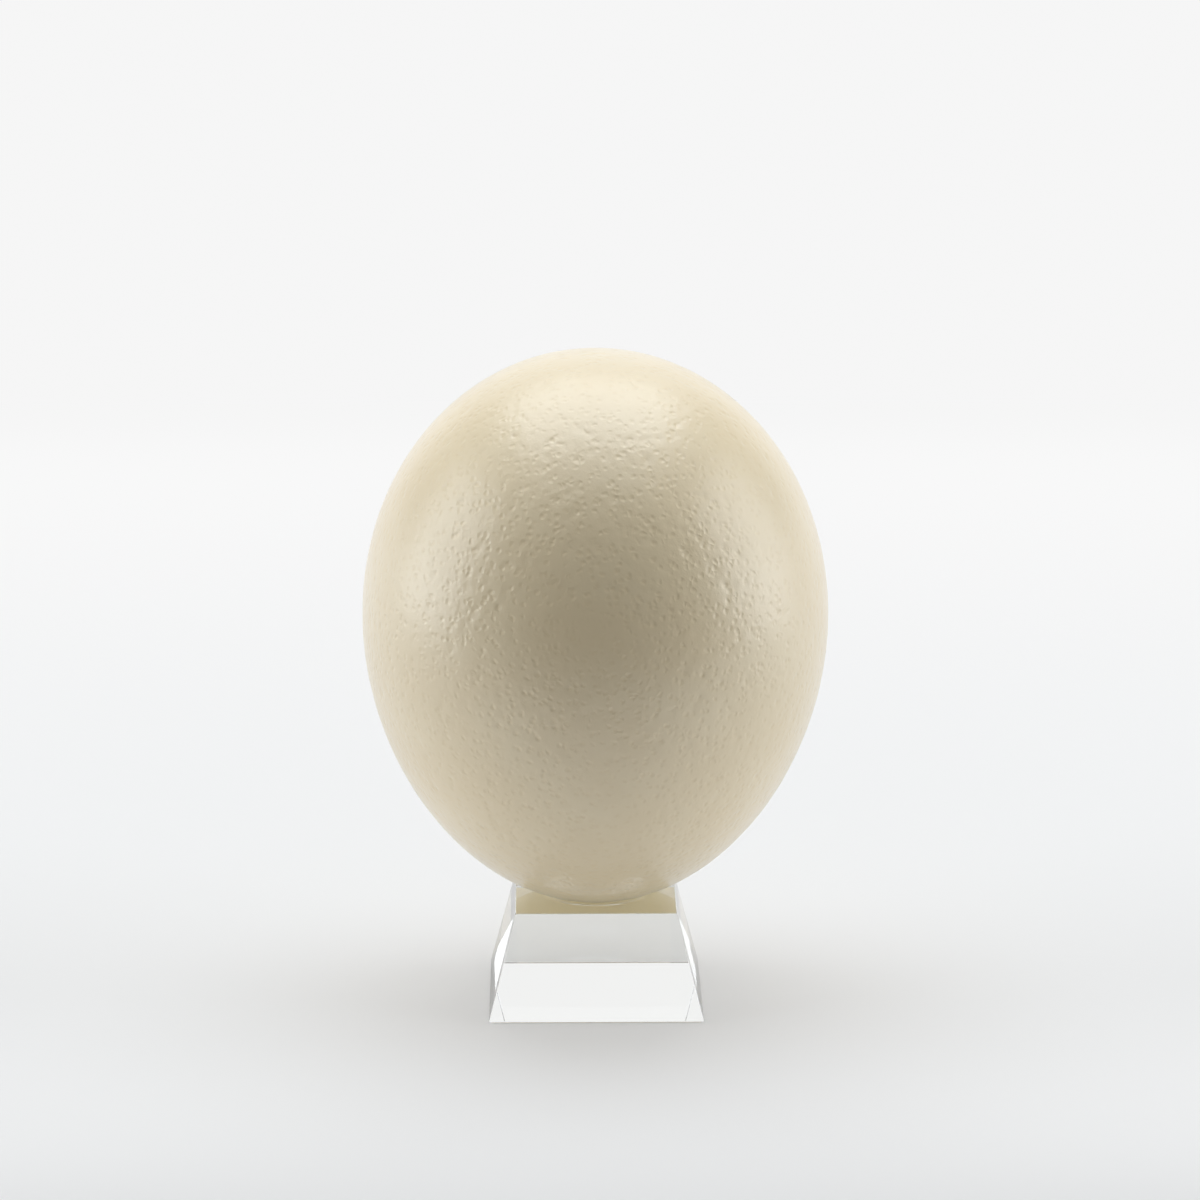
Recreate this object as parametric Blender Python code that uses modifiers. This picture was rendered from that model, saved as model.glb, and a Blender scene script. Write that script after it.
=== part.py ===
"""An ostrich egg resting in the shallow dish of a clear acrylic block.

Metres, +Z up, the viewer stands on the -Y side. The origin is the middle of the stand's underside.
Two separate pieces: the whole egg, and the block that holds it. Nothing fastens one to the other.
"""

import math

import bmesh
import bpy

MM = 0.001

# The egg. Its half width at the latitude t (-1 at the low pole, +1 at the crown) is
# EGG_RADIUS * sqrt(1 - t^2) * (1 + EGG_CROWN * t + EGG_BELLY * t^2).
EGG_LENGTH = 155.9 * MM
EGG_RADIUS = 64.7 * MM
EGG_CROWN = 0.049      # above zero, the crown is rounder than the low end
EGG_BELLY = -0.015     # below zero, both ends are a little slimmer than an ellipse
EGG_RINGS = 40
EGG_STEPS = 72

# The stand: a square block whose four sides lean in evenly to a smaller square top.
STAND_BASE = 60.0 * MM
STAND_TOP = 45.0 * MM
STAND_HEIGHT = 29.2 * MM
STAND_CHAMFER = 0.5 * MM

# The dish ground in the middle of the stand's top face.
DISH_RIM = 15.0 * MM
DISH_DEPTH = 1.7 * MM
DISH_CHAMFER = 0.3 * MM
DISH_RINGS = 8
DISH_STEPS = 48
CUTTER_RISE = 4.0 * MM

# The dish is less curved than the egg, which so touches it at its deepest point only. A gap keeps
# the two meshes apart there.
REST_GAP = 0.3 * MM


def egg_bottom():
    """Height of the egg's lowest point when it rests in the middle of the dish."""
    return STAND_HEIGHT - DISH_DEPTH + REST_GAP


def clear_scene():
    for obj in list(bpy.data.objects):
        bpy.data.objects.remove(obj, do_unlink=True)


def new_collection(name):
    collection = bpy.data.collections.new(name)
    bpy.context.scene.collection.children.link(collection)
    return collection


def new_object(name, mesh, collection):
    obj = bpy.data.objects.new(name, mesh)
    collection.objects.link(obj)
    return obj


def principled(name, color, roughness, ior, transmission=0.0):
    material = bpy.data.materials.new(name)
    material.use_nodes = True
    shader = material.node_tree.nodes["Principled BSDF"]
    shader.inputs["Base Color"].default_value = (*color, 1.0)
    shader.inputs["Roughness"].default_value = roughness
    shader.inputs["IOR"].default_value = ior
    shader.inputs["Transmission Weight"].default_value = transmission
    return material


def profile_mesh(name, points):
    """An open line in the XZ plane, on the +X side, from its top point to its bottom one."""
    edges = [(i, i + 1) for i in range(len(points) - 1)]
    mesh = bpy.data.meshes.new(name)
    mesh.from_pydata([(x, 0.0, z) for x, z in points], edges, [])
    return mesh


def turn(obj, steps):
    """Turn the profile once round Z, with its two ends closed on the axis."""
    screw = obj.modifiers.new("Turned", "SCREW")
    screw.axis = "Z"
    screw.angle = 2.0 * math.pi
    screw.screw_offset = 0.0
    screw.steps = steps
    screw.render_steps = steps
    screw.use_merge_vertices = True
    screw.merge_threshold = 0.00001
    screw.use_smooth_shade = True
    return screw


def egg_profile():
    bottom = egg_bottom()
    points = []
    for ring in range(EGG_RINGS + 1):
        latitude = math.pi * (0.5 - ring / EGG_RINGS)
        t = math.sin(latitude)
        shape = 1.0 + EGG_CROWN * t + EGG_BELLY * t * t
        on_axis = ring in (0, EGG_RINGS)
        x = 0.0 if on_axis else EGG_RADIUS * math.cos(latitude) * shape
        points.append((x, bottom + 0.5 * EGG_LENGTH * (1.0 + t)))
    return points


def dish_profile():
    """Outline of what is cut away for the dish: a disc, a small flare at the rim, and a ball's cap."""
    ball = (DISH_RIM ** 2 + DISH_DEPTH ** 2) / (2.0 * DISH_DEPTH)
    centre = STAND_HEIGHT - DISH_DEPTH + ball
    low_rim = DISH_RIM - DISH_CHAMFER
    reach = math.asin(low_rim / ball)
    flare = DISH_RIM + DISH_CHAMFER + CUTTER_RISE
    points = [(0.0, STAND_HEIGHT + CUTTER_RISE), (flare, STAND_HEIGHT + CUTTER_RISE)]
    for ring in range(DISH_RINGS + 1):
        angle = reach * (1.0 - ring / DISH_RINGS)
        x = 0.0 if ring == DISH_RINGS else ball * math.sin(angle)
        points.append((x, centre - ball * math.cos(angle)))
    return points


def build_egg(collection):
    egg = new_object("egg", profile_mesh("egg", egg_profile()), collection)
    turn(egg, EGG_STEPS)
    shell = principled("eggshell", (0.78, 0.69, 0.52), 0.42, 1.5)
    egg.data.materials.append(shell)
    return egg


def build_dish_cutter(collection):
    cutter = new_object("dish_cutter", profile_mesh("dish_cutter", dish_profile()), collection)
    turn(cutter, DISH_STEPS)
    cutter.hide_render = True
    cutter.display_type = "WIRE"
    return cutter


def build_stand(collection, cutter):
    mesh = bpy.data.meshes.new("stand")
    shape = bmesh.new()
    bmesh.ops.create_cone(
        shape,
        cap_ends=True,
        segments=4,
        radius1=STAND_BASE * math.sqrt(0.5),
        radius2=STAND_TOP * math.sqrt(0.5),
        depth=STAND_HEIGHT,
    )
    square = math.radians(45.0)
    for vert in shape.verts:
        x, y = vert.co.x, vert.co.y
        vert.co.x = x * math.cos(square) - y * math.sin(square)
        vert.co.y = x * math.sin(square) + y * math.cos(square)
        vert.co.z += 0.5 * STAND_HEIGHT
    bmesh.ops.recalc_face_normals(shape, faces=shape.faces)
    shape.to_mesh(mesh)
    shape.free()
    stand = new_object("stand", mesh, collection)

    edges = stand.modifiers.new("Polished edges", "BEVEL")
    edges.limit_method = "ANGLE"
    edges.angle_limit = math.radians(30.0)
    edges.width = STAND_CHAMFER
    edges.segments = 2

    dish = stand.modifiers.new("Dish", "BOOLEAN")
    dish.operation = "DIFFERENCE"
    dish.solver = "EXACT"
    dish.object = cutter

    stand.data.materials.append(principled("clear_acrylic", (1.0, 1.0, 1.0), 0.0, 1.49, 1.0))
    stand.data.shade_smooth()
    stand.data.set_sharp_from_angle(angle=math.radians(30.0))
    return stand


def main():
    clear_scene()
    parts = new_collection("ostrich_egg")
    cutters = new_collection("cutters")
    build_egg(parts)
    build_stand(parts, build_dish_cutter(cutters))


main()
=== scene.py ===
"""The looks of an ostrich egg resting on a clear acrylic block, with a pale studio round them.

Metres, +Z up, the viewer stands on the -Y side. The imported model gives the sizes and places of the
egg and of the block. Both are worked out again here as finer surfaces that stand for its two nodes.
"""

import math

import bpy
import numpy as np
from bpy.props import FloatProperty, FloatVectorProperty, IntProperty, PointerProperty
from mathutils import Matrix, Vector


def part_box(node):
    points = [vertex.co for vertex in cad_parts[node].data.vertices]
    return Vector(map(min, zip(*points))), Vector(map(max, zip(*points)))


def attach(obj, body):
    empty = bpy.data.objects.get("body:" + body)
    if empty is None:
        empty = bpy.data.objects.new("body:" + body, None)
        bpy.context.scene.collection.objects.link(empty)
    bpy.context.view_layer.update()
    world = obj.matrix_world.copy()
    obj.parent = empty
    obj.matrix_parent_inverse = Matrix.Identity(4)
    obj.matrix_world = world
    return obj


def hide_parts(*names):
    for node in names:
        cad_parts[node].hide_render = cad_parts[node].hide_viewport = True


bl_info = {
    "name": "Ostrich Egg on a Clear Block",
    "version": (1, 0, 0),
    "blender": (4, 5, 0),
    "location": "View3D > Sidebar > Ostrich Egg",
    "description": "Builds a pitted ostrich egg, its clear stand and a pale studio",
    "category": "Object",
}

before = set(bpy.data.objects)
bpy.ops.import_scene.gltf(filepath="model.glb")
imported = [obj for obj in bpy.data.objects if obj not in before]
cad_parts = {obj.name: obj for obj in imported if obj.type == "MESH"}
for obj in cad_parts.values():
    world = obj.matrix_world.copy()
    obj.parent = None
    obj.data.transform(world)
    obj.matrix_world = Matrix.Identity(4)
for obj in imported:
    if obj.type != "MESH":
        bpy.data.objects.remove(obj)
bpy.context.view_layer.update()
EGG_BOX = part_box("egg")
STAND_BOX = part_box("stand")

MM = 0.001

# How the egg's outline differs from an ellipse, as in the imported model: see egg_width.
EGG_CROWN = 0.049
EGG_BELLY = -0.015

# Sizes of the shell's patterns across its surface.
CLOUD_SIZE = 28.0 * MM
WAVER_SIZE = 2.4 * MM
WAVER_REACH = 1.3 * MM
PEEL_SIZE = 1.2 * MM


# ---------------------------------------------------------------- small helpers


def linear(code):
    """The linear colour, with an alpha of 1, of an sRGB hex code such as "#E7D6B3"."""
    parts = np.array([int(code[i:i + 2], 16) for i in (1, 3, 5)]) / 255.0
    low = parts / 12.92
    high = ((parts + 0.055) / 1.055) ** 2.4
    return (*np.where(parts <= 0.04045, low, high).tolist(), 1.0)


def add_node(tree, kind, settings=None, links=None):
    """One node with its settings, and the sockets linked to its inputs.

    A setting is one of the node's own, or else the value of an input, given by name or by number.
    On a Mix node input 0 is the share, 2 and 3 are the two numbers, 6 and 7 are the two colours,
    and outputs 0 and 2 are the mixed number and colour.
    """
    node = tree.nodes.new(kind)
    for key, value in (settings or {}).items():
        if isinstance(key, str) and hasattr(node, key):
            setattr(node, key, value)
        else:
            node.inputs[key].default_value = value
    for key, socket in (links or {}).items():
        tree.links.new(socket, node.inputs[key])
    return node


def new_material(name):
    """An empty material and its node tree."""
    material = bpy.data.materials.new(name)
    material.use_nodes = True
    material.node_tree.nodes.clear()
    return material, material.node_tree


def new_mesh(name, points, *faces):
    """A mesh from an array of points and, for each number of corners, an array of faces."""
    corners = np.concatenate([part.ravel() for part in faces])
    sizes = np.concatenate([np.full(len(part), part.shape[1]) for part in faces])
    mesh = bpy.data.meshes.new(name)
    mesh.vertices.add(len(points))
    mesh.loops.add(len(corners))
    mesh.polygons.add(len(sizes))
    mesh.vertices.foreach_set("co", points.ravel())
    mesh.loops.foreach_set("vertex_index", corners)
    mesh.polygons.foreach_set("loop_start", np.cumsum(sizes) - sizes)
    mesh.update(calc_edges=True)
    mesh.validate()
    mesh.shade_smooth()
    return mesh


def new_object(name, mesh, material):
    """The mesh as an object in the scene, with its material."""
    obj = bpy.data.objects.new(name, mesh)
    obj.data.materials.append(material)
    bpy.context.scene.collection.objects.link(obj)
    return obj


def ring_faces(rings, steps, start, first_pole=None, last_pole=None):
    """Quads between neighbouring rings of points, and triangles from the end rings to their poles.

    Point j of ring i is number start + i * steps + j. Each ring runs anticlockwise seen from above,
    so faces look outwards where the rings climb the outside of a shape.
    """
    number = start + np.arange(rings * steps).reshape(rings, steps)
    after = np.roll(number, -1, axis=1)
    quads = np.stack([number[:-1], after[:-1], after[1:], number[1:]], axis=-1).reshape(-1, 4)
    fans = []
    if first_pole is not None:
        fans.append(np.stack([np.full(steps, first_pole), after[0], number[0]], axis=-1))
    if last_pole is not None:
        fans.append(np.stack([number[-1], after[-1], np.full(steps, last_pole)], axis=-1))
    return quads, np.concatenate(fans)


# ---------------------------------------------------------------- the egg


def egg_width(t):
    """Share of the egg's half width at the latitude t, from -1 at the low pole to 1 at the crown.

    An ellipse, sqrt(1 - t^2), times 1 + crown * t + belly * t^2: a positive crown makes the top
    rounder than the low end, and a negative belly slims both ends.
    """
    return np.sqrt(np.maximum(1.0 - t * t, 0.0)) * (1.0 + EGG_CROWN * t + EGG_BELLY * t * t)


def ball_grid(cells):
    """Unit directions on a cube's six faces blown up to a ball, and the quads between them.

    On a face both parameters run from -1 to 1. The tangent of an eighth turn times each of them
    gives the point on the cube, and its direction from the middle the point on the ball.
    """
    run = np.tan(np.linspace(-1.0, 1.0, cells + 1) * math.pi / 4.0)
    u, v = np.meshgrid(run, run, indexing="ij")
    one = np.ones_like(u)
    sides = [(one, u, v), (v, one, u), (u, v, one), (-one, v, u), (u, -one, v), (v, u, -one)]
    points = np.concatenate([np.stack(side, axis=-1).reshape(-1, 3) for side in sides])
    points /= np.linalg.norm(points, axis=1, keepdims=True)

    number = np.arange(len(points)).reshape(6, cells + 1, cells + 1)
    quads = np.stack(
        [number[:, :-1, :-1], number[:, 1:, :-1], number[:, 1:, 1:], number[:, :-1, 1:]], axis=-1
    ).reshape(-1, 4)
    # The faces share their border points, which are made one here.
    _, first, same = np.unique(
        np.round(points * 1e6).astype(np.int64), axis=0, return_index=True, return_inverse=True
    )
    return points[first], same.ravel()[quads]


def egg_surface(direction, low, high):
    """Points and outward normals of the smooth egg that fills the box, for unit directions.

    A direction's height t gives the latitude, and its level part (x, y), of length sqrt(1 - t^2),
    the way round: the point is (R x s, R y s, half length * t), where s is 1 + crown t + belly t^2.
    The normal is at right angles to the outline's slope along a meridian.
    """
    t = direction[:, 2]
    half_length = 0.5 * (high.z - low.z)
    widest = egg_width(np.linspace(-1.0, 1.0, 20001)).max()
    radius = 0.5 * (high.x - low.x) / widest
    shape = 1.0 + EGG_CROWN * t + EGG_BELLY * t * t
    slope = EGG_CROWN + 2.0 * EGG_BELLY * t
    points = np.stack(
        [
            0.5 * (high.x + low.x) + radius * direction[:, 0] * shape,
            0.5 * (high.y + low.y) + radius * direction[:, 1] * shape,
            low.z + half_length * (1.0 + t),
        ],
        axis=-1,
    )
    normals = np.stack(
        [
            half_length * direction[:, 0],
            half_length * direction[:, 1],
            radius * (t * shape - (1.0 - t * t) * slope),
        ],
        axis=-1,
    )
    return points, normals / np.linalg.norm(normals, axis=1, keepdims=True)


def dent_field(points, spacing, radius, rng):
    """How deep each point lies in a dent, from 0 on the plain shell to 1 at a dent's middle.

    Space is cut into cubes of the given spacing, and each holds one ball at a random place. A dent
    is where a ball meets the shell: at the distance d from its centre it is (1 - (d / radius)^2)^2
    deep, so balls that only graze the shell leave small faint dents, and near ones run together.
    """
    corner = points.min(axis=0) - 2.0 * spacing
    home = np.floor((points - corner) / spacing).astype(np.int64)
    cubes = home.max(axis=0) + 2
    place = rng.random((*cubes, 3))
    size = radius * rng.uniform(0.65, 1.15, cubes)
    field = np.zeros(len(points))
    for step in np.ndindex(3, 3, 3):
        cell = home + np.array(step) - 1
        at = tuple(cell.T)
        centre = corner + (cell + place[at]) * spacing
        gap = np.square(points - centre).sum(axis=1) / np.square(size[at])
        field += np.square(np.maximum(1.0 - gap, 0.0))
    return np.minimum(field, 1.0)


def ripple_field(points, spacing, rng):
    """Soft random waves between -1 and 1: random heights at the corners of cubes, eased between."""
    corner = points.min(axis=0) - spacing
    place = (points - corner) / spacing
    home = np.floor(place).astype(np.int64)
    share = place - home
    share = share * share * (3.0 - 2.0 * share)
    heights = rng.uniform(-1.0, 1.0, tuple(home.max(axis=0) + 2))
    field = np.zeros(len(points))
    for step in np.ndindex(2, 2, 2):
        side = np.array(step)
        weight = np.where(side, share, 1.0 - share).prod(axis=1)
        field += weight * heights[tuple((home + side).T)]
    return field


def eggshell_material(settings):
    """Ostrich eggshell: chalky crystal grown in the bird, under a thin glassy skin full of pores.

    The crystal gives the eye an ivory colour that wanders a little. The skin over it adds the soft
    shine of bare horn, and breaks the shine up into a glint and a shade at every pore.
    """
    material, tree = new_material("ostrich eggshell, grown")
    place = add_node(tree, "ShaderNodeTexCoord").outputs["Object"]

    clouds = add_node(
        tree,
        "ShaderNodeTexNoise",
        {"Scale": 1.0 / CLOUD_SIZE, "Detail": 3.0, "Roughness": 0.55},
        {"Vector": place},
    )
    cloud_share = add_node(
        tree,
        "ShaderNodeMapRange",
        {"From Min": 0.3, "From Max": 0.7},
        {"Value": clouds.outputs["Fac"]},
    )
    body = add_node(
        tree,
        "ShaderNodeMix",
        {"data_type": "RGBA", 6: settings.shell_color, 7: settings.cloud_color},
        {0: cloud_share.outputs["Result"]},
    )

    # A pore is a soft bowl about one random point in each cube. The coordinates waver with a noise
    # as coarse as the bowls, so that none of them is quite round.
    waver = add_node(
        tree,
        "ShaderNodeTexNoise",
        {"Scale": 1.0 / WAVER_SIZE, "Detail": 1.0},
        {"Vector": place},
    )
    nudge = add_node(
        tree,
        "ShaderNodeVectorMath",
        {"operation": "MULTIPLY_ADD", 1: (WAVER_REACH, WAVER_REACH, WAVER_REACH)},
        {0: waver.outputs["Color"], 2: place},
    )
    bowls = add_node(
        tree,
        "ShaderNodeTexVoronoi",
        {"feature": "F1", "Scale": 1.0 / settings.pore_spacing, "Randomness": 1.0},
        {"Vector": nudge.outputs["Vector"]},
    )
    bowl = add_node(
        tree,
        "ShaderNodeMapRange",
        {"interpolation_type": "SMOOTHSTEP", "From Max": settings.pore_radius / settings.pore_spacing},
        {"Value": bowls.outputs["Distance"]},
    ).outputs["Result"]
    color = add_node(
        tree,
        "ShaderNodeMix",
        {"data_type": "RGBA", 6: settings.pore_color},
        {0: bowl, 7: body.outputs[2]},
    )

    # The skin's own fine unevenness is like orange peel.
    peel = add_node(
        tree,
        "ShaderNodeTexNoise",
        {"Scale": 1.0 / PEEL_SIZE, "Detail": 2.0, "Roughness": 0.5},
        {"Vector": place},
    )
    peel_bump = add_node(
        tree,
        "ShaderNodeBump",
        {"Strength": 1.0, "Distance": settings.peel_depth},
        {"Height": peel.outputs["Fac"]},
    )
    bowl_bump = add_node(
        tree,
        "ShaderNodeBump",
        {"Strength": 1.0, "Distance": settings.pore_depth},
        {"Height": bowl, "Normal": peel_bump.outputs["Normal"]},
    )

    roughness = add_node(
        tree,
        "ShaderNodeMapRange",
        {"From Min": 0.3, "From Max": 0.7, "To Min": 0.46, "To Max": 0.54},
        {"Value": clouds.outputs["Fac"]},
    )
    shader = add_node(
        tree,
        "ShaderNodeBsdfPrincipled",
        {
            "IOR": 1.5,
            "Coat Weight": 1.0,
            "Coat Roughness": 0.3,
            "Coat IOR": 1.6,
            "Sheen Weight": 0.28,
            "Sheen Roughness": 0.4,
        },
        {
            "Base Color": color.outputs[2],
            "Roughness": roughness.outputs["Result"],
            "Normal": bowl_bump.outputs["Normal"],
            "Coat Normal": bowl_bump.outputs["Normal"],
        },
    )
    add_node(tree, "ShaderNodeOutputMaterial", links={"Surface": shader.outputs["BSDF"]})
    return material


class EggSettings(bpy.types.PropertyGroup):
    """What a user may change on the egg."""

    cells: IntProperty(
        name="Cells",
        description="Cells along each side of the six patches that make the shell",
        default=128,
        min=16,
        max=128,
    )
    dent_spacing: FloatProperty(
        name="Dent spacing",
        description="Side of the cubes that each hold one dent's centre",
        default=3.4 * MM,
        min=1.0 * MM,
        unit="LENGTH",
    )
    dent_radius: FloatProperty(
        name="Dent radius",
        description="Usual radius of a dent",
        default=1.8 * MM,
        min=0.2 * MM,
        unit="LENGTH",
    )
    dent_depth: FloatProperty(
        name="Dent depth",
        description="Depth of the deepest dents",
        default=0.14 * MM,
        min=0.0,
        unit="LENGTH",
    )
    ripple_spacing: FloatProperty(
        name="Ripple spacing",
        description="Distance between the soft waves in the shell",
        default=5.0 * MM,
        min=1.0 * MM,
        unit="LENGTH",
    )
    ripple_depth: FloatProperty(
        name="Ripple depth",
        description="Height of the soft waves above and below the smooth egg",
        default=0.03 * MM,
        min=0.0,
        unit="LENGTH",
    )
    pore_spacing: FloatProperty(
        name="Pore spacing",
        description="Side of the cubes that each hold one pore's centre",
        default=2.1 * MM,
        min=0.5 * MM,
        unit="LENGTH",
    )
    pore_radius: FloatProperty(
        name="Pore radius",
        description="Radius of the widest pores",
        default=1.15 * MM,
        min=0.1 * MM,
        unit="LENGTH",
    )
    pore_depth: FloatProperty(
        name="Pore depth",
        description="Depth of the deepest pores",
        default=0.1 * MM,
        min=0.0,
        unit="LENGTH",
    )
    peel_depth: FloatProperty(
        name="Peel depth",
        description="Depth of the skin's finest unevenness",
        default=0.05 * MM,
        min=0.0,
        unit="LENGTH",
    )
    shell_color: FloatVectorProperty(
        name="Shell",
        description="The shell's main colour",
        default=linear("#EEDEBC"),
        size=4,
        min=0.0,
        max=1.0,
        subtype="COLOR",
    )
    cloud_color: FloatVectorProperty(
        name="Clouds",
        description="The colour that the shell wanders towards",
        default=linear("#EBD9B5"),
        size=4,
        min=0.0,
        max=1.0,
        subtype="COLOR",
    )
    pore_color: FloatVectorProperty(
        name="Pores",
        description="The colour at the bottom of a pore",
        default=linear("#EAD8B3"),
        size=4,
        min=0.0,
        max=1.0,
        subtype="COLOR",
    )
    seed: IntProperty(
        name="Seed",
        description="Picks another arrangement of dents and ripples",
        default=7,
        min=0,
    )


class OSTRICH_OT_egg(bpy.types.Operator):
    """Build the pitted eggshell in the place of the model's egg"""

    bl_idname = "ostrich.egg"
    bl_label = "Egg"

    def execute(self, context):
        settings = context.scene.ostrich_egg
        rng = np.random.default_rng(settings.seed)
        direction, quads = ball_grid(settings.cells)
        points, normals = egg_surface(direction, *EGG_BOX)
        dents = dent_field(points, settings.dent_spacing, settings.dent_radius, rng)
        ripples = ripple_field(points, settings.ripple_spacing, rng)
        lift = settings.ripple_depth * ripples - settings.dent_depth * dents
        mesh = new_mesh("eggshell", points + lift[:, None] * normals, quads)
        shell = new_object("eggshell", mesh, eggshell_material(settings))
        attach(shell, "root")
        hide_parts("egg")
        return {"FINISHED"}


# ---------------------------------------------------------------- the stand

# Points along a rounded edge, across the dish's lip, and from the lip to the middle of the dish.
EDGE_STEPS = 5
LIP_STEPS = 9
CAP_STEPS = 25


def square_ring(side_steps, corner_steps):
    """A square with rounded corners, as two arrays: where on the sharp square, and which way out.

    The first goes round the square from (1, -1), anticlockwise, and waits at each corner while the
    second, a unit vector, turns through a right angle there. Its angle follows the side between.
    """
    along = np.linspace(-1.0, 1.0, side_steps, endpoint=False)
    turn = np.linspace(0.0, math.pi / 2.0, corner_steps, endpoint=False)
    side = np.stack([np.ones(side_steps), along], axis=-1)
    place = np.concatenate([side, np.ones((corner_steps, 2))])
    turning = np.stack([np.cos(turn), np.sin(turn)], axis=-1)
    out = np.concatenate([np.tile([1.0, 0.0], (side_steps, 1)), turning])
    quarter = np.array([[0.0, 1.0], [-1.0, 0.0]])
    turns = [np.linalg.matrix_power(quarter, n) for n in range(4)]
    return (
        np.concatenate([place @ turned for turned in turns]),
        np.concatenate([out @ turned for turned in turns]),
    )


def arc(centre, radius, start, end, steps):
    """Points (reach, height) on a circle's arc, both ends among them."""
    angle = np.linspace(start, end, steps)
    return np.stack([centre[0] + radius * np.cos(angle), centre[1] + radius * np.sin(angle)], axis=-1)


def block_surface(settings, low, high):
    """Points and faces of the stand: a rounded square carried up a sloping outline, then a dish.

    The side's outline leans in by a fixed share of the height, and small arcs tangent to it round
    off the underside and the top. Across the top the square turns into a circle, which dips over a
    rounded lip into a ball's cap: reach = ball * sin(angle), depth = dish depth - ball * (1 - cos
    angle). The lip is an arc tangent to the top face and to the ball, so the two circles' centres
    stand ball + lip apart, and ball + lip - dish depth of that is height.
    """
    height = high.z - low.z
    base = 0.5 * (high.x - low.x)
    lean = base * (1.0 - settings.top_share) / height
    edge = settings.edge_radius
    slope = math.atan(lean)
    inset = edge * math.sqrt(1.0 + lean * lean)
    foot_centre = (base - edge * lean - inset, edge)
    brow_centre = (base - (height - edge) * lean - inset, height - edge)
    foot = arc(foot_centre, edge, -math.pi / 2.0, slope, EDGE_STEPS)
    brow = arc(brow_centre, edge, slope, math.pi / 2.0, EDGE_STEPS)
    outline = np.concatenate([foot, brow])

    place, out = square_ring(side_steps=12, corner_steps=4)
    corner = np.minimum(edge, outline[:, 0])[:, None, None]
    reach = outline[:, 0][:, None, None]
    square = (reach - corner) * place + corner * out
    square = np.concatenate(
        [square, np.broadcast_to(outline[:, 1][:, None, None], (*square.shape[:2], 1))], axis=-1
    )

    rim, depth = settings.dish_radius, settings.dish_depth
    ball = (rim * rim + depth * depth) / (2.0 * depth)
    lip = settings.lip_radius
    steep = math.acos(1.0 - depth / (ball + lip))
    brim = (ball + lip) * math.sin(steep)
    lip_arc = arc((brim, height - lip), lip, math.pi / 2.0, math.pi / 2.0 + steep, LIP_STEPS)
    cap_angle = np.linspace(steep, 0.0, CAP_STEPS)[1:-1]
    cap = np.stack(
        [ball * np.sin(cap_angle), height - depth + ball * (1.0 - np.cos(cap_angle))], axis=-1
    )
    bowl = np.concatenate([lip_arc, cap])
    way = np.arctan2(square[-1, :, 1], square[-1, :, 0])
    round_ring = np.stack([np.cos(way), np.sin(way)], axis=-1)
    bowl_points = np.concatenate(
        [
            bowl[:, 0][:, None, None] * round_ring,
            np.broadcast_to(bowl[:, 1][:, None, None], (len(bowl), len(way), 1)),
        ],
        axis=-1,
    )
    rings = np.concatenate([square, bowl_points])
    poles = np.array([[0.0, 0.0, 0.0], [0.0, 0.0, height - depth]])
    points = np.concatenate([poles, rings.reshape(-1, 3)])
    points += [0.5 * (high.x + low.x), 0.5 * (high.y + low.y), low.z]
    return points, ring_faces(len(rings), rings.shape[1], 2, first_pole=0, last_pole=1)


def acrylic_material(settings):
    """Cast acrylic sheet, sawn to shape and polished with a diamond cutter.

    It gives the eye water-clear faces that mirror each other from within, and bright edge lines.
    """
    material, tree = new_material("clear cast acrylic, polished")
    shader = add_node(
        tree,
        "ShaderNodeBsdfPrincipled",
        {
            "Base Color": settings.block_color,
            "Roughness": 0.0,
            "IOR": 1.49,
            "Transmission Weight": 1.0,
        },
    )
    add_node(tree, "ShaderNodeOutputMaterial", links={"Surface": shader.outputs["BSDF"]})
    return material


class StandSettings(bpy.types.PropertyGroup):
    """What a user may change on the stand."""

    top_share: FloatProperty(
        name="Top share",
        description="Width of the top as a share of the base's",
        default=0.75,
        min=0.4,
        max=1.0,
        subtype="FACTOR",
    )
    edge_radius: FloatProperty(
        name="Edge radius",
        description="Radius of the polished edges",
        default=0.25 * MM,
        min=0.1 * MM,
        unit="LENGTH",
    )
    dish_radius: FloatProperty(
        name="Dish radius",
        description="Radius of the dish at the top face",
        default=15.0 * MM,
        min=2.0 * MM,
        unit="LENGTH",
    )
    dish_depth: FloatProperty(
        name="Dish depth",
        description="Depth of the dish below the top face",
        default=1.7 * MM,
        min=0.2 * MM,
        unit="LENGTH",
    )
    lip_radius: FloatProperty(
        name="Lip radius",
        description="Radius that polishing leaves where the dish meets the top face",
        default=9.0 * MM,
        min=0.1 * MM,
        unit="LENGTH",
    )
    block_color: FloatVectorProperty(
        name="Block",
        description="The tint that light takes on at each face of the block",
        default=linear("#FDFEFD"),
        size=4,
        min=0.0,
        max=1.0,
        subtype="COLOR",
    )


class OSTRICH_OT_stand(bpy.types.Operator):
    """Build the polished acrylic block in the place of the model's stand"""

    bl_idname = "ostrich.stand"
    bl_label = "Stand"

    def execute(self, context):
        settings = context.scene.ostrich_stand
        points, faces = block_surface(settings, *STAND_BOX)
        mesh = new_mesh("acrylic_block", points, *faces)
        block = new_object("acrylic_block", mesh, acrylic_material(settings))
        # Shading that the big faces decide keeps them optically flat right up to their edges.
        flat = block.modifiers.new("Flat faces", "WEIGHTED_NORMAL")
        flat.mode = "FACE_AREA"
        flat.weight = 100
        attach(block, "root")
        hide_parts("stand")
        return {"FINISHED"}


# ---------------------------------------------------------------- the studio

# Rings on the paper's upward curve and on its level part, the innermost ring, and points in a ring.
CURVE_RINGS = 33
LEVEL_RINGS = 40
INNERMOST = 20.0 * MM
ROUND_STEPS = 128

# The film of air under the block's polished underside, which so mirrors from within.
AIR_FILM = 0.25 * MM


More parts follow.
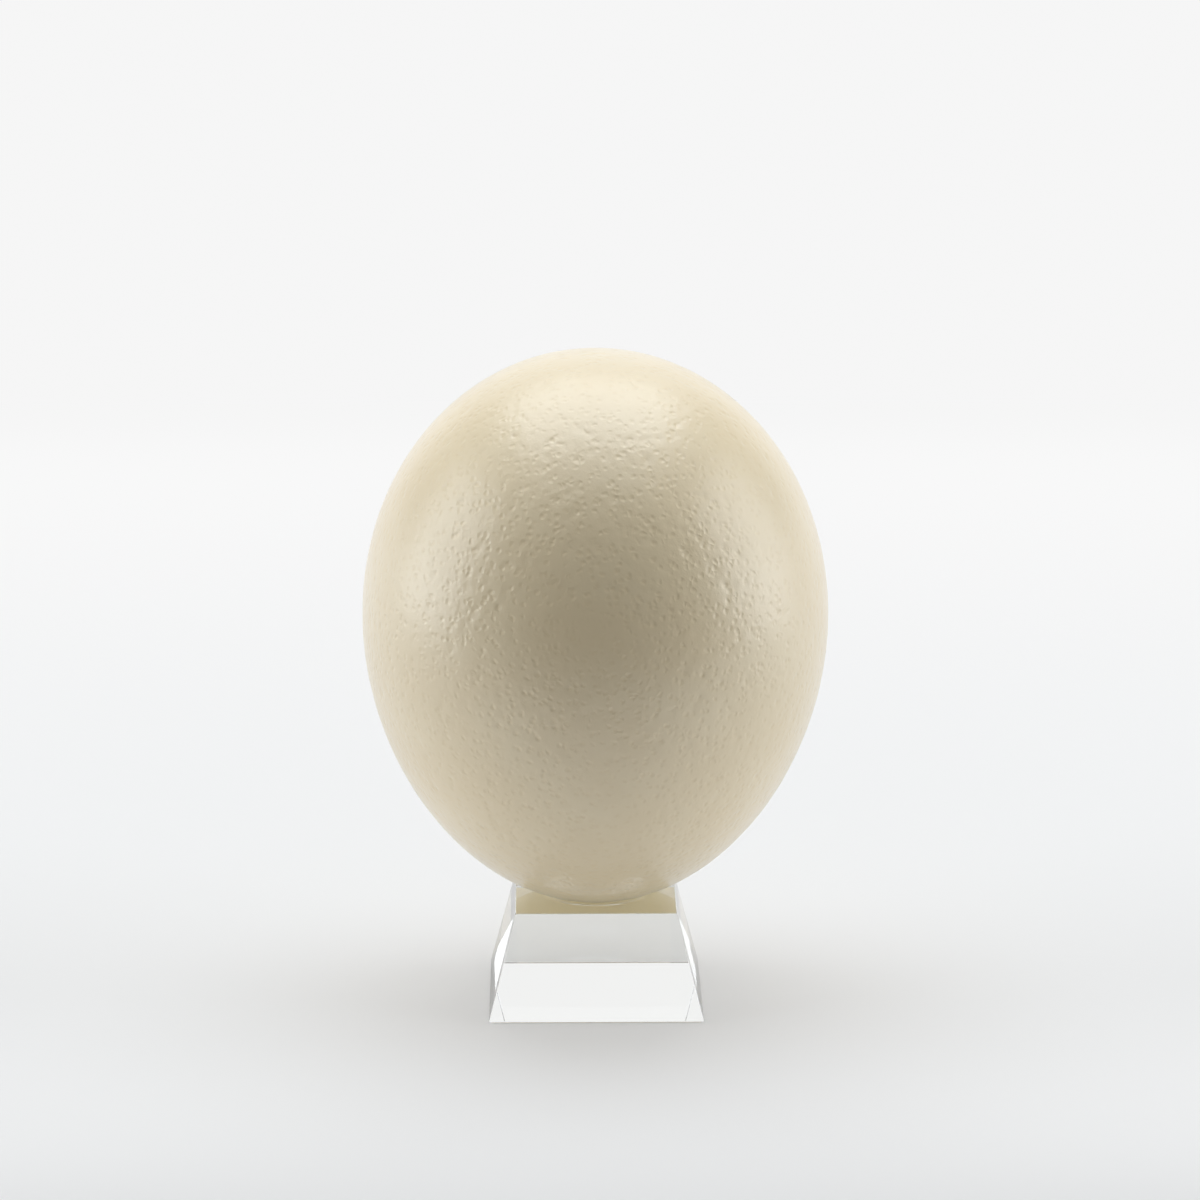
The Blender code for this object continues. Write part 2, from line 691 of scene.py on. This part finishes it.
def sweep_surface(flat, bend, height):
    """Points and faces of the floor: a profile carried round Z, level out to flat, then curving up.

    From the rim inwards and down: (flat + bend sin a, bend (1 - cos a)) until it is level, then
    rings that close in on the middle, each a fixed share of the one before.
    """
    end = math.acos(1.0 - height / bend)
    angle = np.linspace(end, 0.0, CURVE_RINGS)
    curve = np.stack([flat + bend * np.sin(angle), bend * (1.0 - np.cos(angle))], axis=-1)
    inwards = np.geomspace(flat, INNERMOST, LEVEL_RINGS)[1:]
    level = np.stack([inwards, np.zeros_like(inwards)], axis=-1)
    profile = np.concatenate([curve, level])
    way = np.linspace(0.0, 2.0 * math.pi, ROUND_STEPS, endpoint=False)
    rings = np.stack(
        [
            profile[:, :1] * np.cos(way),
            profile[:, :1] * np.sin(way),
            np.broadcast_to(profile[:, 1:], (len(profile), len(way))),
        ],
        axis=-1,
    )
    points = np.concatenate([np.zeros((1, 3)), rings.reshape(-1, 3)])
    return points, ring_faces(len(profile), len(way), 1, last_pole=0)


def sweep_material(settings):
    """Matt white background paper that glows as painted light, more of it farther out.

    It gives the eye a white ground with faint shadows. Far out the glow makes an evenly bright
    backdrop; round the object a weaker glow is painted light that lifts the shadows and lights the
    egg from below. A tan square under the block, painted shade and painted warm bounce light from
    the egg, dims and warms the glow there, which is what shows through the block's top. Towards the
    viewer the glow ends and the paper is painted grey, a painted shade that keeps the egg's near
    side dark.
    """
    material, tree = new_material("matt white background paper")
    place = add_node(tree, "ShaderNodeTexCoord").outputs["Object"]
    depth = add_node(tree, "ShaderNodeSeparateXYZ", links={"Vector": place}).outputs["Y"]
    squeezed = add_node(
        tree, "ShaderNodeVectorMath", {"operation": "MULTIPLY", 1: (0.5, 1.0, 0.0)}, {0: place}
    )
    reach = add_node(
        tree,
        "ShaderNodeVectorMath",
        {"operation": "LENGTH"},
        {0: squeezed.outputs["Vector"]},
    ).outputs["Value"]
    sides = add_node(
        tree, "ShaderNodeVectorMath", {"operation": "ABSOLUTE"}, {0: place}
    ).outputs["Vector"]
    apart = add_node(tree, "ShaderNodeSeparateXYZ", links={"Vector": sides}).outputs
    largest = add_node(
        tree, "ShaderNodeMath", {"operation": "MAXIMUM"}, {0: apart["X"], 1: apart["Y"]}
    ).outputs["Value"]

    # Each eased step: what it runs along, where it starts and ends, and its value at either end.
    # The tan square under the block is painted shade and painted warm bounce light from the egg: it dims
    # the glow there and gives the glow and the paper the square's tan.
    side = settings.shade_patch_size / 2.0
    edges = {
        "near": (depth, -0.5, -0.13, 0.0, 1.0),
        "far": (reach, 0.1, 0.9, settings.floor_shade, 0.0),
        "glow": (reach, 0.05, 0.82, settings.painted_fill_glow, settings.far_glow),
        "front": (depth, -0.43, -0.075, 0.0, 1.0),
        "paper": (largest, side - 0.5 * MM, side, 0.0, 1.0),
        "shade_patch_dimming": (largest, side - 0.5 * MM, side, settings.shade_patch_glow_share, 1.0),
    }
    eased = {}
    for name, (socket, start, end, low, high) in edges.items():
        eased[name] = add_node(
            tree,
            "ShaderNodeMapRange",
            {
                "interpolation_type": "SMOOTHSTEP",
                "From Min": start,
                "From Max": end,
                "To Min": low,
                "To Max": high,
            },
            {"Value": socket},
        ).outputs["Result"]

    # Towards the viewer the paper is painted grey: painted shade that stands in for the dim side of the
    # room there, and keeps the egg's near side dark.
    shade = add_node(
        tree, "ShaderNodeMix", {2: settings.painted_front_shade}, {0: eased["near"], 3: eased["far"]}
    )
    color = add_node(
        tree,
        "ShaderNodeMix",
        {"data_type": "RGBA", 6: settings.shade_patch_color},
        {0: eased["paper"], 7: shade.outputs[0]},
    )
    # Painted warm bounce light: the glow under the block takes the square's tan.
    tint = add_node(
        tree,
        "ShaderNodeMix",
        {"data_type": "RGBA", 6: settings.shade_patch_color, 7: (1.0, 1.0, 1.0, 1.0)},
        {0: eased["paper"]},
    )
    # The glow is painted light: round the object it lifts the shadows and lights the egg from below, and
    # far out it makes the backdrop evenly bright.
    strength = eased["glow"]
    for name in ("front", "shade_patch_dimming"):
        strength = add_node(
            tree, "ShaderNodeMath", {"operation": "MULTIPLY"}, {0: strength, 1: eased[name]}
        ).outputs["Value"]
    shader = add_node(
        tree,
        "ShaderNodeBsdfPrincipled",
        {"Roughness": 1.0, "Specular IOR Level": 0.0},
        {
            "Base Color": color.outputs[2],
            "Emission Color": tint.outputs[2],
            "Emission Strength": strength,
        },
    )
    add_node(tree, "ShaderNodeOutputMaterial", links={"Surface": shader.outputs["BSDF"]})
    return material


def studio_world(settings):
    """A dim warm room with a lit white wall behind the object, where directions have a high Y."""
    world = bpy.data.worlds.new("studio")
    world.use_nodes = True
    tree = world.node_tree
    tree.nodes.clear()
    way = add_node(tree, "ShaderNodeTexCoord").outputs["Generated"]
    depth = add_node(tree, "ShaderNodeSeparateXYZ", links={"Vector": way}).outputs["Y"]
    share = add_node(
        tree,
        "ShaderNodeMapRange",
        {"interpolation_type": "SMOOTHSTEP", "From Min": 0.5, "From Max": 0.9},
        {"Value": depth},
    )
    color = add_node(
        tree,
        "ShaderNodeMix",
        {"data_type": "RGBA", 6: settings.room_color, 7: settings.wall_color},
        {0: share.outputs["Result"]},
    )
    glow = add_node(tree, "ShaderNodeBackground", links={"Color": color.outputs[2]})
    add_node(tree, "ShaderNodeOutputWorld", links={"Surface": glow.outputs["Background"]})
    return world


def soft_box(name, place, target, width, depth, radiance, color):
    """An area light of the given brightness that looks at a point. Its power is pi * area * radiance."""
    lamp = bpy.data.lights.new(name, "AREA")
    lamp.color = color[:3]
    lamp.shape = "RECTANGLE"
    lamp.size = width
    lamp.size_y = depth
    lamp.energy = math.pi * width * depth * radiance
    box = bpy.data.objects.new(name, lamp)
    box.location = place
    box.rotation_mode = "QUATERNION"
    box.rotation_quaternion = (Vector(target) - Vector(place)).to_track_quat("-Z", "Y")
    box.visible_camera = False
    bpy.context.scene.collection.objects.link(box)
    return box


def studio_camera(settings):
    """A long lens that looks down a little on the object."""
    data = bpy.data.cameras.new("camera")
    data.sensor_width = 36.0
    data.lens = settings.lens
    data.clip_start = 0.05
    data.clip_end = 20.0
    camera = bpy.data.objects.new("camera", data)
    turn, rise = settings.camera_turn, settings.camera_rise
    back = Vector(
        (math.sin(turn) * math.cos(rise), -math.cos(turn) * math.cos(rise), math.sin(rise))
    )
    aim = Vector((settings.aim_side, 0.0, settings.aim_height))
    camera.location = aim + settings.camera_distance * back
    camera.rotation_mode = "QUATERNION"
    camera.rotation_quaternion = (-back).to_track_quat("-Z", "Y")
    bpy.context.scene.collection.objects.link(camera)
    bpy.context.scene.camera = camera
    return camera


class StudioSettings(bpy.types.PropertyGroup):
    """What a user may change in the studio."""

    floor_shade: FloatProperty(
        name="Floor shade",
        description="Share of the light that the paper gives back round the object",
        default=0.5,
        min=0.0,
        max=1.0,
        subtype="FACTOR",
    )
    # Painted shade: the paper's grey far out towards the viewer.
    painted_front_shade: FloatProperty(
        name="Front shade",
        description="Share of the light that the paper gives back far out towards the viewer",
        default=0.2,
        min=0.0,
        max=1.0,
        subtype="FACTOR",
    )
    # Painted light: the paper's glow round the object, which lifts the shadows and lights the egg from
    # below.
    painted_fill_glow: FloatProperty(
        name="Table glow",
        description="Light from under the paper, round the object",
        default=0.32,
        min=0.0,
    )
    # The paper's glow far out, which makes an evenly bright backdrop.
    far_glow: FloatProperty(
        name="Far glow",
        description="Light through the paper far from the object",
        default=0.92,
        min=0.0,
    )
    # The square under the block is painted shade and painted warm bounce light from the egg above it.
    shade_patch_size: FloatProperty(
        name="Card size",
        description="Side of the square card under the block",
        default=58.6 * MM,
        min=0.0,
        unit="LENGTH",
    )
    shade_patch_glow_share: FloatProperty(
        name="Card share",
        description="Share of the table's light that comes through the card",
        default=0.68,
        min=0.0,
        max=1.0,
        subtype="FACTOR",
    )
    shade_patch_color: FloatVectorProperty(
        name="Card",
        description="The card under the block",
        default=linear("#E8DAB0"),
        size=4,
        min=0.0,
        max=1.0,
        subtype="COLOR",
    )
    room_color: FloatVectorProperty(
        name="Room",
        description="The dim warm room round the paper",
        default=linear("#453F31"),
        size=4,
        min=0.0,
        max=1.0,
        subtype="COLOR",
    )
    wall_color: FloatVectorProperty(
        name="Wall",
        description="The lit wall behind the object",
        default=linear("#FBFBFB"),
        size=4,
        min=0.0,
        max=1.0,
        subtype="COLOR",
    )
    top_light: FloatProperty(
        name="Overhead light",
        description="Brightness of the soft box above the object",
        default=2.85,
        min=0.0,
    )
    side_light: FloatProperty(
        name="Side light",
        description="Brightness of the two soft boxes at the object's sides",
        default=2.4,
        min=0.0,
    )
    front_light: FloatProperty(
        name="Front light",
        description="Brightness of the narrow soft box above and in front of the object",
        default=1.0,
        min=0.0,
    )
    light_color: FloatVectorProperty(
        name="Light",
        description="Colour of the soft boxes' light",
        default=linear("#F7FBFF"),
        size=4,
        min=0.0,
        max=1.0,
        subtype="COLOR",
    )
    lens: FloatProperty(
        name="Lens",
        description="Focal length for a sensor 36 mm wide, in millimetres",
        default=151.0,
        min=10.0,
    )
    camera_distance: FloatProperty(
        name="Camera distance",
        description="Distance from the camera to the point it looks at",
        default=1.4,
        min=0.3,
        unit="LENGTH",
    )
    camera_turn: FloatProperty(
        name="Camera turn",
        description="How far the camera stands round to the right of the front",
        default=math.radians(-0.65),
        subtype="ANGLE",
    )
    camera_rise: FloatProperty(
        name="Camera rise",
        description="How far the camera looks down",
        default=math.radians(13.0),
        subtype="ANGLE",
    )
    aim_side: FloatProperty(
        name="Aim, sideways",
        description="Distance from the object's middle to the point the camera looks at",
        default=1.3 * MM,
        unit="LENGTH",
    )
    aim_height: FloatProperty(
        name="Aim, height",
        description="Height of the point the camera looks at",
        default=113.4 * MM,
        unit="LENGTH",
    )


class OSTRICH_OT_studio(bpy.types.Operator):
    """Build the pale floor, the soft light and the camera"""

    bl_idname = "ostrich.studio"
    bl_label = "Studio"

    def execute(self, context):
        settings = context.scene.ostrich_studio
        points, faces = sweep_surface(flat=2.4, bend=0.9, height=0.6)
        points[:, 2] -= AIR_FILM
        mesh = new_mesh("paper_sweep", points, *faces)
        sweep = new_object("paper_sweep", mesh, sweep_material(settings))
        context.scene.world = studio_world(settings)
        middle = (0.0, 0.0, 0.1)
        boxes = (
            ("overhead_box", (0.0, 0.2, 1.1), 1.2, 0.9, settings.top_light),
            ("front_box", (0.0, -0.42, 1.06), 1.2, 0.3, settings.front_light),
            ("left_box", (-0.95, -0.05, 0.4), 0.75, 0.85, settings.side_light),
            ("right_box", (0.95, -0.05, 0.4), 0.75, 0.85, settings.side_light),
        )
        for name, place, width, depth, radiance in boxes:
            soft_box(name, place, middle, width, depth, radiance, settings.light_color)
        studio_camera(settings)
        context.scene.view_settings.view_transform = "Standard"
        return {"FINISHED"}


# ---------------------------------------------------------------- the add-on


class OSTRICH_PT_panel(bpy.types.Panel):
    """The buttons and settings in the 3D view's sidebar"""

    bl_idname = "OSTRICH_PT_panel"
    bl_label = "Ostrich Egg"
    bl_space_type = "VIEW_3D"
    bl_region_type = "UI"
    bl_category = "Ostrich Egg"

    def draw(self, context):
        scene = context.scene
        groups = (
            (OSTRICH_OT_egg, scene.ostrich_egg),
            (OSTRICH_OT_stand, scene.ostrich_stand),
            (OSTRICH_OT_studio, scene.ostrich_studio),
        )
        for operator, settings in groups:
            box = self.layout.box()
            box.operator(operator.bl_idname)
            for name in settings.__annotations__:
                box.prop(settings, name)


CLASSES = (
    EggSettings,
    StandSettings,
    StudioSettings,
    OSTRICH_OT_egg,
    OSTRICH_OT_stand,
    OSTRICH_OT_studio,
    OSTRICH_PT_panel,
)


def register():
    for cls in CLASSES:
        bpy.utils.register_class(cls)
    bpy.types.Scene.ostrich_egg = PointerProperty(type=EggSettings)
    bpy.types.Scene.ostrich_stand = PointerProperty(type=StandSettings)
    bpy.types.Scene.ostrich_studio = PointerProperty(type=StudioSettings)


def unregister():
    del bpy.types.Scene.ostrich_studio
    del bpy.types.Scene.ostrich_stand
    del bpy.types.Scene.ostrich_egg
    for cls in reversed(CLASSES):
        bpy.utils.unregister_class(cls)


def main():
    register()
    bpy.ops.ostrich.studio()
    bpy.ops.ostrich.stand()
    bpy.ops.ostrich.egg()


if __name__ == "__main__":
    main()
